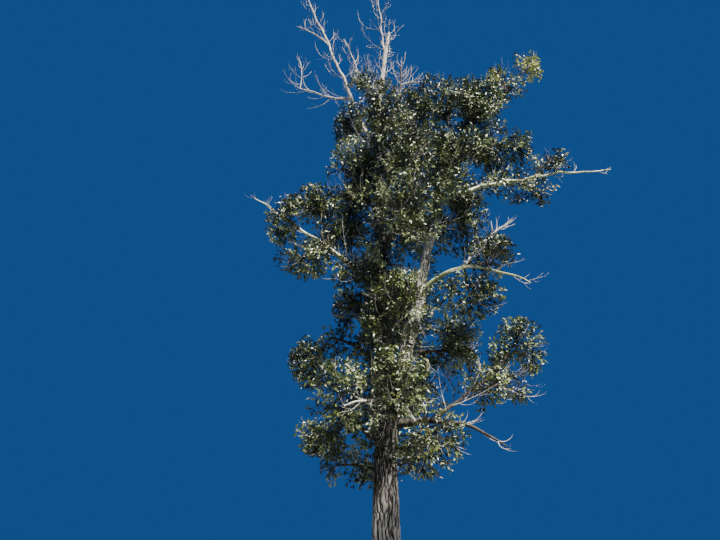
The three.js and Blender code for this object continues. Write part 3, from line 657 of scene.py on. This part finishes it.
def leaves_of(mass, twiglets, spray):
    """Leaves along the finest twigs and one at each tip: root, direction, across, length and spray."""
    luck = mass.random.random
    counts = np.maximum(np.round(twiglets.length * LEAVES_PER_METRE), 1).astype(int) + 1
    which, order = shared_out(counts)
    last = order == counts[which] - 1
    t = np.where(last, 1, mix(0.15, 1, (order + 0.5) / counts[which]))
    lean = np.where(last, TIP_LEAF_LEAN, LEAF_LEAN) + LEAF_LEAN_SPREAD * (luck(len(which)) - 0.5)
    turn = order * GOLDEN_TURN + 2 * math.pi * luck(len(which))
    direction = unit(leaning(twiglets.along(which, t), np.radians(lean), turn) - LEAF_DROOP * UP)
    root = twiglets.at(which, t)
    length = LEAF_LENGTH * mix(*LEAF_SIZES, luck(len(which)))
    tumble = LEAF_TUMBLE * (mass.random.random((len(which), 3)) - 0.5) * 2
    facing = mass.space.outward(root) * LEAF_OUTWARD + UP * LEAF_UPWARD + tumble
    across = unit(np.cross(facing, direction))
    tip = root + direction * length[:, None]
    keep = mass.space.holds(tip) & is_clear(tip, mass.pieces, LEAF_CLEARANCE)
    return root[keep], direction[keep], across[keep], length[keep], spray[which[keep]]


def leaf_mesh(root, direction, across, length):
    """Pointed leaves, widest near the stalk and folded along the middle: five corners, four faces."""
    size = length[:, None]
    facing = np.cross(direction, across)
    half = across * size * LEAF_WIDTH / 2
    belly = root + direction * size * LEAF_BELLY + facing * size * LEAF_CUP
    middle = root + direction * size * LEAF_FOLD_AT - facing * size * LEAF_FOLD
    tip = root + direction * size - facing * size * LEAF_CURL
    vertices = np.stack([root, belly - half, belly + half, middle, tip], axis=1).reshape(-1, 3)
    corners = np.array([[0, 3, 1], [0, 2, 3], [1, 3, 4], [3, 2, 4]])
    faces = (np.arange(len(root))[:, None, None] * 5 + corners).reshape(-1, 3)
    return vertices, faces


def skin_faces(first, around):
    """Four-sided faces round tubes, from the first corner of each ring to the ring after it."""
    near, far = np.arange(around), (np.arange(around) + 1) % around
    return np.stack([first + near, first + far, first + far + around, first + near + around], axis=2)


def tube_mesh(arcs, sides, steps):
    """Tapering tubes along many arcs, as one set of vertices and four-sided faces."""
    count, rings = len(arcs), steps + 1
    which = np.repeat(np.arange(count), rings)
    t = np.tile(np.linspace(0, 1, rings), count)
    spokes = arcs.spokes(which, t, 2 * math.pi * np.arange(sides) / sides)
    radius = arcs.radius(which, t) * np.where(t < 1, 1, 0.1)
    vertices = (arcs.at(which, t)[:, None] + spokes * radius[:, None, None]).reshape(-1, 3)
    first = (np.arange(count)[:, None] * rings + np.arange(steps)).reshape(-1, 1) * sides
    return vertices, skin_faces(first, sides).reshape(-1, 4)


def mesh_object(name, vertices, faces, material, smooth):
    mesh = bpy.data.meshes.new(name)
    mesh.vertices.add(len(vertices))
    mesh.vertices.foreach_set("co", np.ascontiguousarray(vertices, np.float32).ravel())
    mesh.loops.add(faces.size)
    mesh.loops.foreach_set("vertex_index", np.ascontiguousarray(faces, np.int32).ravel())
    mesh.polygons.add(len(faces))
    mesh.polygons.foreach_set("loop_start", np.arange(0, faces.size, faces.shape[1], dtype=np.int32))
    mesh.polygons.foreach_set("use_smooth", np.full(len(faces), smooth))
    mesh.update(calc_edges=True)
    mesh.materials.append(material)
    piece = bpy.data.objects.new(name, mesh)
    bpy.context.scene.collection.objects.link(piece)
    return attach(piece, "root")


def joined_meshes(meshes):
    """Several sets of vertices and faces as one."""
    starts = np.cumsum([0] + [len(vertices) for vertices, _ in meshes[:-1]])
    return (
        np.concatenate([vertices for vertices, _ in meshes]),
        np.concatenate([faces + start for (_, faces), start in zip(meshes, starts)]),
    )


def split_mesh(vertices, faces, most):
    """A joined mesh in parts of at most so many triangles, each with the vertices it uses."""
    each = most // (faces.shape[1] - 2)
    for start in range(0, len(faces), each):
        used, own = np.unique(faces[start:start + each], return_inverse=True)
        yield vertices[used], own.reshape(-1, faces.shape[1])


def noise(across, up, around, seed):
    """Smooth noise between 0 and 1 over a limb's skin; it closes on itself after so many cells."""
    column, row = np.floor(across), np.floor(up)
    s, t = (value * value * (3 - 2 * value) for value in (across - column, up - row))

    def corner(i, j):
        return chance(seed, (column + i) % around + around * (row + j))

    return mix(mix(corner(0, 0), corner(1, 0), s), mix(corner(0, 1), corner(1, 1), s), t)


def furrowed(turn, high, ridges, seed):
    """Bark from 0 in its furrows to 1 on its ridges, which wander up the limb, part and meet again."""
    drift = [1.4 * noise(turn * ridges / 2, high * 4.5, ridges // 2, seed + i) for i in range(2)]
    one = np.abs(np.sin(math.pi * (turn * ridges + drift[0])))
    other = np.abs(np.sin(math.pi * (turn * ridges - drift[1])))
    return np.clip(2 * np.minimum(one, other), 0, 1)


def weathered(turn, high, ridges, seed):
    """Bare wood: long fine cracks that run with the grain, and low swellings where twigs broke off."""
    grain = noise(turn * ridges, high * 1.1, ridges, seed)
    swelling = noise(turn * 3, high * 4.5, 3, seed + 7)
    return 0.5 * grain + 1.6 * np.clip(swelling - 0.62, 0, 1) * 2


def ring_places(length, first, last):
    """Places of the rings along a limb, whose gaps grow or shrink evenly from foot to tip."""
    count = int(2 * length / (first + last)) + 2
    even = np.linspace(0, 1, count)
    places = even * (first + (last - first) * even / 2) / ((first + last) / 2) * LAST_RING
    return np.append(places, 1.0)


def bark_of(limb, carrier_radius, look, seed):
    """A limb's skin: rings along it with its bark's relief, a collar at its foot and a closed tip."""
    around = look.around
    t = ring_places(limb.length[0], *look.rings)
    which = np.zeros(len(t), int)
    angle = 2 * math.pi * np.arange(around) / around
    high = np.linalg.norm(np.diff(limb.at(which, t), axis=0, prepend=limb.at([0], 0)), axis=1).cumsum()
    radius = limb.radius(which, t)
    beyond = np.maximum(high - carrier_radius, 0)
    collar = 1 + look.collar * np.exp(-beyond / (1.5 * radius[0]))
    turn, level = np.meshgrid(angle / (2 * math.pi), high)
    pattern = weathered if look.weathered else furrowed
    relief = pattern(turn, level / look.stretch, look.ridges, seed)
    skin = (radius * collar)[:, None] * (1 + look.depth * (relief - 0.6))
    skin *= 1 + look.lobes * np.cos(FLARE_LOBES * angle) * np.exp(-level / FLARE_HEIGHT)
    skin[-1] *= CLOSED_TIP
    points = limb.at(which, t)[:, None] + limb.spokes(which, t, angle) * skin[..., None]
    broken = look.broken * noise(turn[-2:] * 9, np.zeros((2, around)), 9, seed + 3)
    points[-2:] += limb.along(which[-2:], t[-2:])[:, None] * broken[..., None]
    first = np.arange(len(t) - 1)[:, None] * around
    faces = skin_faces(first, around)
    return points.reshape(-1, 3), faces.reshape(-1, 4), relief


def new_material(name, roughness, specular=0.3):
    """A node material, its shader, and a helper that adds a node and sets what it is given."""
    material = bpy.data.materials.new(name)
    material.use_nodes = True
    shader = material.node_tree.nodes["Principled BSDF"]
    shader.inputs["Roughness"].default_value = roughness
    shader.inputs["Specular IOR Level"].default_value = specular

    def node(kind, **inputs):
        made = material.node_tree.nodes.new(kind)
        for key, value in inputs.items():
            made.inputs[key].default_value = value
        return made

    return material, shader, node


def link(material, *pairs):
    for start, end in pairs:
        material.node_tree.links.new(start, end)


def ramp_of(node, stops):
    """A colour ramp through the stops, each a place and a colour."""
    ramp = node("ShaderNodeValToRGB")
    ends = ramp.color_ramp.elements
    while len(ends) < len(stops):
        ends.new(0.5)
    for end, (place, colour) in zip(ends, stops):
        end.position = place
        end.color = (*colour, 1)
    return ramp


def grained(material, node, scale, detail, stretch=(1, 1, 1)):
    """Noise in the object's own space, drawn out by the stretch."""
    place = node("ShaderNodeTexCoord")
    mapping = node("ShaderNodeMapping", Scale=stretch)
    grain = node("ShaderNodeTexNoise", Scale=scale, Detail=detail)
    link(material, (place.outputs["Object"], mapping.inputs["Vector"]))
    link(material, (mapping.outputs["Vector"], grain.inputs["Vector"]))
    return grain.outputs["Fac"]


def roughened(material, shader, node, height, strength, distance, low, high):
    """Bump, and roughness between two bounds, that follow the same grain."""
    bump = node("ShaderNodeBump", Strength=strength, Distance=distance)
    rough = node("ShaderNodeMapRange")
    rough.inputs["To Min"].default_value = low
    rough.inputs["To Max"].default_value = high
    link(material, (height, bump.inputs["Height"]), (bump.outputs["Normal"], shader.inputs["Normal"]))
    link(material, (height, rough.inputs["Value"]), (rough.outputs["Result"], shader.inputs["Roughness"]))


def blended(material, node, share, one, other):
    """Two colours blended by a share."""
    blend = node("ShaderNodeMix")
    blend.data_type = "RGBA"
    link(material, (share, blend.inputs["Factor"]), (one, blend.inputs["A"]), (other, blend.inputs["B"]))
    return blend.outputs["Result"]


def bark_material(name, tones, stretch):
    """Bark: streaks drawn out along the limbs, broad patches of another tone, and fine cracks."""
    dark, light, patch = tones
    material, shader, node = new_material(name, roughness=0.85, specular=0.2)
    streaks = grained(material, node, scale=14, detail=8, stretch=stretch)
    patches = grained(material, node, scale=0.9, detail=3)
    streaked = ramp_of(node, [(0.36, dark), (0.62, light)])
    patched = ramp_of(node, [(0.38, light), (0.66, patch)])
    share = node("ShaderNodeMapRange")
    share.inputs["From Min"].default_value = 0.5
    share.inputs["From Max"].default_value = 0.7
    share.inputs["To Max"].default_value = 0.6
    link(material, (streaks, streaked.inputs["Fac"]), (streaks, patched.inputs["Fac"]))
    link(material, (patches, share.inputs["Value"]))
    pair = (streaked.outputs["Color"], patched.outputs["Color"])
    colour = blended(material, node, share.outputs["Result"], *pair)
    link(material, (colour, shader.inputs["Base Color"]))
    cracks = grained(material, node, scale=45, detail=10, stretch=stretch)
    roughened(material, shader, node, cracks, strength=0.6, distance=0.01, low=0.75, high=0.95)
    return material


def stem_material(name, pale_and_painted_light):
    """A stem's bark: black furrows between grey ridges, the black being painted shade, and cream on its
    pale stretches, where the lightness by height is partly painted sunlight and painted shade.
    """
    material, shader, node = new_material(name, roughness=0.9, specular=0.15)
    # The skin's relief mixed with grain: its low furrows are blackened by the ramps below as painted
    # shade.
    relief = node("ShaderNodeAttribute")
    relief.attribute_name = "relief"
    mixed = node("ShaderNodeMix", Factor=0.55)
    grain = grained(material, node, scale=9, detail=8, stretch=(1, 1, 0.4))
    link(material, (relief.outputs["Fac"], mixed.inputs["A"]), (grain, mixed.inputs["B"]))
    streaks = mixed.outputs["Result"]
    low = ramp_of(node, LOW_BARK)
    high = ramp_of(node, HIGH_BARK)
    place = node("ShaderNodeTexCoord")
    parts = node("ShaderNodeSeparateXYZ")
    level = node("ShaderNodeMapRange")
    level.inputs["From Max"].default_value = PALING_TOP
    # How pale the bark is by height: the trunk's pale top is its own dead wood, the other stretches
    # painted sunlight and painted shade.
    pale_and_painted_light_ramp = ramp_of(node, [(height / PALING_TOP, (share,) * 3) for height, share in pale_and_painted_light])
    link(material, (streaks, low.inputs["Fac"]), (streaks, high.inputs["Fac"]))
    link(material, (place.outputs["Object"], parts.inputs["Vector"]))
    link(material, (parts.outputs["Z"], level.inputs["Value"]))
    link(material, (level.outputs["Result"], pale_and_painted_light_ramp.inputs["Fac"]))
    colour = blended(material, node, pale_and_painted_light_ramp.outputs["Color"], low.outputs["Color"], high.outputs["Color"])
    link(material, (colour, shader.inputs["Base Color"]))
    cracks = grained(material, node, scale=40, detail=10, stretch=(1, 1, 0.3))
    roughened(material, shader, node, cracks, strength=0.8, distance=0.015, low=0.8, high=0.98)
    return material


def leaf_material(name, dark, light):
    """Leaves of one tone, each a little darker or lighter than the next, with a soft gloss."""
    material, shader, node = new_material(name, roughness=0.4, specular=0.6)
    shader.inputs["Coat Weight"].default_value = 0.15
    shader.inputs["Coat Roughness"].default_value = 0.3
    single = grained(material, node, scale=11, detail=2)
    tone = ramp_of(node, [(0.38, dark), (0.62, light)])
    link(material, (single, tone.inputs["Fac"]), (tone.outputs["Color"], shader.inputs["Base Color"]))
    veins = grained(material, node, scale=60, detail=2)
    roughened(material, shader, node, veins, strength=0.15, distance=0.004, low=0.28, high=0.5)
    return material


def make_materials():
    """The materials by the bark, twigs or leaf tone that wears each."""
    made = {
        "trunk": stem_material("trunk_bark", TRUNK_PALING_AND_PAINTED_LIGHT),
        "leader": stem_material("leader_bark", LEADER_PALING_AND_PAINTED_LIGHT),
        "dark": bark_material("dark_bark", DARK_TONES, (1, 1, 0.5)),
        "dead": bark_material("dead_wood", DEAD_TONES, (1, 1, 0.6)),
        "bare": bark_material("bare_twigs", DEAD_TONES, (1, 1, 1)),
        "live": bark_material("live_twigs", LIVE_TONES, (1, 1, 1)),
    }
    for tone, colours in LEAF_TONES.items():
        made[tone] = leaf_material(f"{tone}_leaves", *colours)
    return made


def dress_wood(wood, materials):
    """Each limb's bark or bare wood, as its own piece over its node."""
    rows = {row["name"]: row for row in LIMBS}
    for index, (name, limb) in enumerate(wood.items()):
        bark, inside = "trunk", 0
        if name in rows:
            carrier = wood[rows[name]["on"]]
            bark = rows[name]["bark"]
            inside = carrier.radius([0], carrier.share_of(rows[name]["at"]))[0]
        vertices, faces, relief = bark_of(limb, inside, LOOKS.get(bark, BOUGH_LOOK), index + 1)
        piece = mesh_object(f"wood_{name}", vertices, faces, materials[bark], True)
        # The relief is kept on the skin for the stems' bark, which blackens its furrows from it as
        # painted shade.
        kept = piece.data.attributes.new("relief", "FLOAT", "POINT")
        kept.data.foreach_set("value", np.ascontiguousarray(relief, np.float32).ravel())
        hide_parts(name)


def bare_twigs_on(mass, parents, per_metre, stretch, length, made):
    """Bleached twigs along the parents, with finer ones on them."""
    twigs, _ = side_twigs(mass, parents, BARE_TWIG, per_metre, stretch, length)
    fine, _ = side_twigs(mass, twigs, FINE_BARE_TWIG, *FINE_BARE_TWIGS)
    made["bare"] += [tube_mesh(twigs, sides=4, steps=6), tube_mesh(fine, sides=3, steps=4)]


def leafy_twigs_on(mass, parents, per_metre, stretch, length, made):
    """Live twigs along the parents, open where the crown is airy, with twiglets and leaves on them."""
    twigs, _ = side_twigs(mass, parents, LEAFY_TWIG, per_metre, stretch, length)
    tips = twigs.at(np.arange(len(twigs)), np.ones(len(twigs)))
    edge = np.linalg.norm((tips - mass.space.centre) / mass.space.half, axis=1)
    ragged = FIELD_AT_EDGE * np.clip((edge - EDGE_FROM) / (1 - EDGE_FROM), 0, 1)
    twigs = twigs.only(density(tips) > mix(FIELD_WHEN_BARE, FIELD_WHEN_FULL, mass.full) + ragged)
    twiglets, spray = side_twigs(mass, twigs, TWIGLET, *TWIGLETS)
    made["live"] += [tube_mesh(twigs, sides=3, steps=3), tube_mesh(twiglets, sides=3, steps=1)]
    root, direction, across, size, spray = leaves_of(mass, twiglets, spray)
    # Each spray is dealt a tone at random: the near-black one is painted shade and the pale one carries
    # painted glints.
    tones = TONE_SHARES[mass.tint]
    dealt = mass.random.random(len(twigs))[spray]
    bounds = np.cumsum([0, *tones.values()])
    for tone, low, high in zip(tones, bounds[:-1], bounds[1:]):
        keep = (dealt >= low) & (dealt < high)
        made[tone] += [leaf_mesh(root[keep], direction[keep], across[keep], size[keep])]


def grow_bare(mass, made):
    """A mass with no leaves: bleached shoots and twigs that climb and curl inwards."""
    main = joined([mass.stem, shoots_of(mass, mass.rule.shoots + MORE_BARE_SHOOTS)])
    made["bare"] += [tube_mesh(main, sides=5, steps=7)]
    per_metre, stretch, length = BARE_MASS_TWIGS
    bare_twigs_on(mass, main, per_metre * mass.dead, stretch, length, made)


def grow_leafy(mass, made):
    """A mass's stem, shoots, leafy twigs, and the dead twigs among them."""
    main = joined([mass.stem, shoots_of(mass, mass.rule.shoots + int(MORE_SHOOTS * mass.size))])
    made["live"] += [tube_mesh(main, sides=5, steps=7)]
    leafy_twigs_on(mass, main, *MASS_TWIGS, made)
    bare_twigs_on(mass, main, mass.dead, DEAD_STRETCH, DEAD_LENGTH, made)


def place_on(limb, pieces, seed):
    """What a limb's own twigs need in the place of a mass: room all round it, and the wood to miss."""
    space = Space(limb.at([0], 0.5)[0], np.full(3, limb.length[0] + 1))
    return SimpleNamespace(
        space=space, pieces=pieces, full=LIMB_FULL, tint="green", random=np.random.default_rng(seed),
    )


def grow_on_limbs(wood, made):
    """Bleached twigs on the dead limbs and bare ends of boughs, and leafy ones on the live limbs."""
    none = (np.zeros((0, 3)), np.zeros((0, 3)), np.zeros(0))
    for index, (name, (first, per_metre, length)) in enumerate(BARE_ENDS.items()):
        place = place_on(wood[name], none, BARE_ENDS_SEED + index)
        bare_twigs_on(place, wood[name], per_metre, (first, 1), length, made)
    pieces = straight_pieces(wood)
    for index, (name, (stretch, per_metre, length)) in enumerate(LEAFY_STRETCHES.items()):
        place = place_on(wood[name], pieces, LEAFY_STRETCHES_SEED + index)
        leafy_twigs_on(place, wood[name], per_metre, stretch, length, made)


def dress_masses(wood, materials):
    """The twigs and leaves, joined by kind, over the masses' nodes that they replace."""
    masses = plan_masses(wood)
    made = {kind: [] for kind in (*TWIG_KINDS, *LEAF_TONES)}
    for mass in masses:
        (grow_leafy if mass.rule is LEAFY else grow_bare)(mass, made)
    grow_on_limbs(wood, made)
    leafy = [f"leaves_{mass.name}" for mass in masses if mass.rule is LEAFY]
    bare = [f"twigs_{mass.name}" for mass in masses if mass.rule is BARE]
    for kind, meshes in made.items():
        twigs = kind in TWIG_KINDS
        parts = split_mesh(*joined_meshes(meshes), PIECE_TRIANGLES)
        for part, (vertices, faces) in enumerate(parts):
            name = f"{kind}_{'twigs' if twigs else 'leaves'}_{part + 1}"
            piece = mesh_object(name, vertices, faces, materials[kind], twigs)
            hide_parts(*leafy, *(bare if kind == "bare" else ()))


def add_floor():
    """A plain pale floor."""
    far = FLOOR_HALF
    corners = [(-far, -far, 0), (far, -far, 0), (far, far, 0), (-far, far, 0)]
    mesh = bpy.data.meshes.new("floor")
    mesh.from_pydata(corners, [], [(0, 1, 2, 3)])
    floor = bpy.data.objects.new("floor", mesh)
    bpy.context.scene.collection.objects.link(floor)
    material, shader, node = new_material("pale_floor", roughness=0.9)
    dark, light = FLOOR_TONES
    tone = ramp_of(node, [(0.3, dark), (0.7, light)])
    link(material, (grained(material, node, scale=0.6, detail=3), tone.inputs["Fac"]))
    link(material, (tone.outputs["Color"], shader.inputs["Base Color"]))
    mesh.materials.append(material)


def add_light():
    """A plain blue sky and a soft sun."""
    world = bpy.data.worlds.new("sky")
    world.use_nodes = True
    background = world.node_tree.nodes["Background"]
    background.inputs["Color"].default_value = SKY_COLOUR
    background.inputs["Strength"].default_value = SKY_STRENGTH
    bpy.context.scene.world = world
    sun = bpy.data.objects.new("sun", bpy.data.lights.new("sun", "SUN"))
    sun.data.energy = SUN_STRENGTH
    sun.data.angle = SUN_WIDTH
    sun.data.color = SUN_COLOUR
    sun.rotation_euler = SUN_TURN
    bpy.context.scene.collection.objects.link(sun)


def add_camera():
    camera = bpy.data.objects.new("camera", bpy.data.cameras.new("camera"))
    camera.data.lens = CAMERA_LENS
    camera.data.clip_end = CAMERA_REACH
    camera.location = CAMERA_PLACE
    camera.rotation_euler = CAMERA_TURN
    bpy.context.scene.collection.objects.link(camera)
    bpy.context.scene.camera = camera


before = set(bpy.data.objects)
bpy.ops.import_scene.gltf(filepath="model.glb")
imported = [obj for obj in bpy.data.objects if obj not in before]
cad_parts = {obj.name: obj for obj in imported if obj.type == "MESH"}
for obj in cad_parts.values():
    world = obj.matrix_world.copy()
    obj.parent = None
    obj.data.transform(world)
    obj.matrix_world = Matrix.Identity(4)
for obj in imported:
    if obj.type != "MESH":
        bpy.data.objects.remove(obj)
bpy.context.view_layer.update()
add_floor()
add_light()
add_camera()
materials = make_materials()
wood = plan_wood()
dress_wood(wood, materials)
dress_masses(wood, materials)
